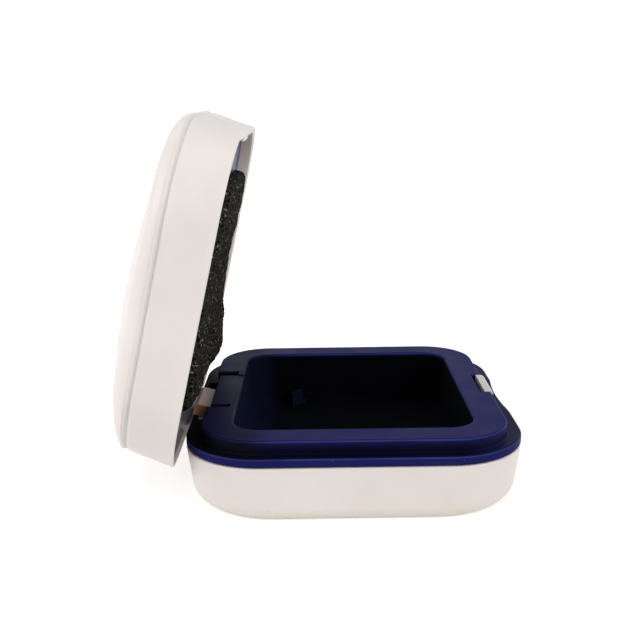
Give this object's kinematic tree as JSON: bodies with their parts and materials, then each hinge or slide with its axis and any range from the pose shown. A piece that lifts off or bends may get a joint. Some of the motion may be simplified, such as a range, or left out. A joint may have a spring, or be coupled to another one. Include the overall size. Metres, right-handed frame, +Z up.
{
  "type": "hearing aid case",
  "caption": "Small hinged case with a domed lid, foam pad, insert tray and a push latch, standing open.",
  "frame": {"origin": "centre of the base's underside, on the table", "axes": "+Z up, +X towards the latch, -X towards the hinge, +Y along the hinge pin"},
  "size_m": [0.0775, 0.0666, 0.0721],
  "materials": {
    "base_shell": "satin warm white",
    "tray": "satin navy",
    "hinge_pin": "satin",
    "lid_frame": "satin warm white",
    "lid_cap": "satin warm white",
    "lid_liner": "matt violet navy",
    "foam_pad": "open-cell foam",
    "latch_button": "satin ivory",
    "latch_spring": "wire"
  },
  "bodies": {
    "base": {"base_shell": "base_shell", "tray": "tray", "hinge_pin": "hinge_pin", "latch_spring": "latch_spring"},
    "lid": {"lid_frame": "lid_frame", "lid_cap": "lid_cap", "lid_liner": "lid_liner", "foam_pad": "foam_pad"},
    "latch": {"latch_button": "latch_button"}
  },
  "joints": [
    {"name": "lid_hinge", "type": "hinge", "parent": "base", "child": "lid", "pos_m": [-0.029, 0, 0.00848], "axis": [0, -1, 0], "range_deg": [-76.7, 4]},
    {"name": "latch_slide", "type": "slide", "parent": "base", "child": "latch", "axis": [-1, 0, 0], "range_m": [0, 0.0009], "stiffness_N_per_m": 1500, "springref_m": -0.0008, "deforming": ["latch_spring"]}
  ]
}
